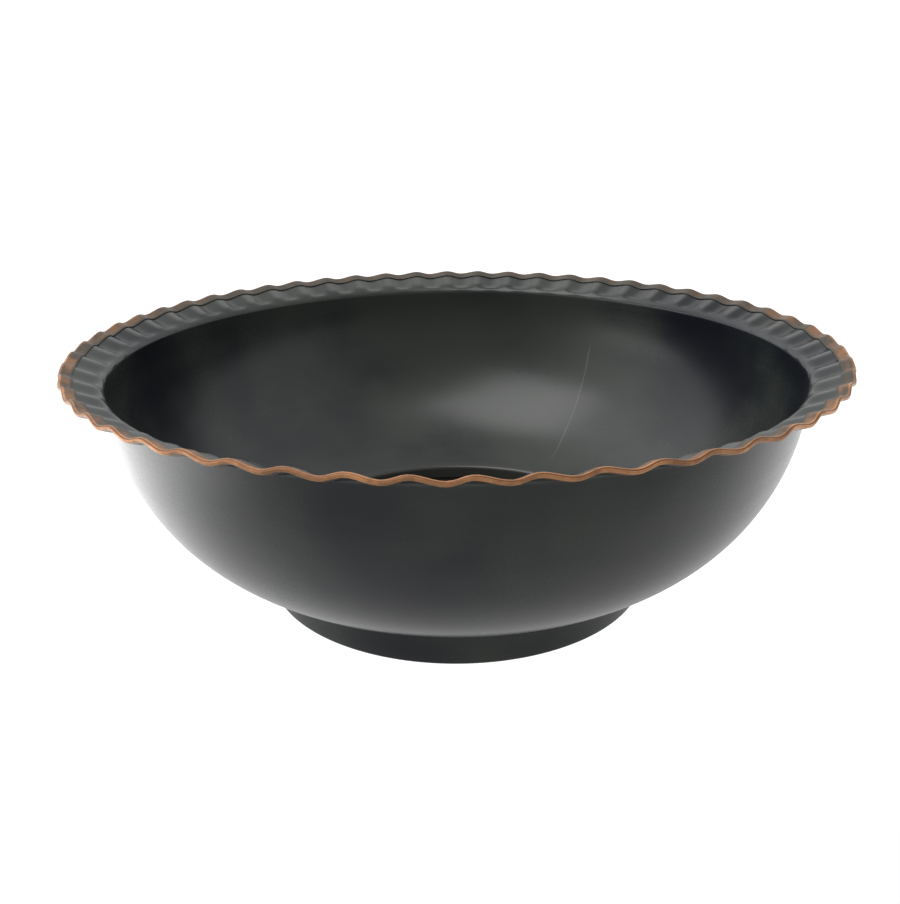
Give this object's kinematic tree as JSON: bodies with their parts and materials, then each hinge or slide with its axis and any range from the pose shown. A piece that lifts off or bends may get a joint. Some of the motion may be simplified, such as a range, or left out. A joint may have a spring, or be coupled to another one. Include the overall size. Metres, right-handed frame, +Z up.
{
  "type": "footed bowl",
  "caption": "Wide spun metal serving bowl on a low hollow foot, with a flared, finely fluted rim bound in a folded bare copper edge.",
  "frame": {"origin": "centre of the circle that the foot stands on", "axes": "+Z up along the bowl's axis of turning; -Y is the front"},
  "size_m": [0.4002, 0.4002, 0.1366],
  "materials": {
    "patinated_copper": "satin blackened copper with fine spinning lines",
    "bare_copper": "satin rubbed copper",
    "dark_solder": "satin darkened solder"
  },
  "bodies": {
    "root": {"bowl_shell": "patinated_copper", "rim_binding": "bare_copper", "foot_pan": "patinated_copper", "foot_solder": "dark_solder"}
  },
  "joints": []
}
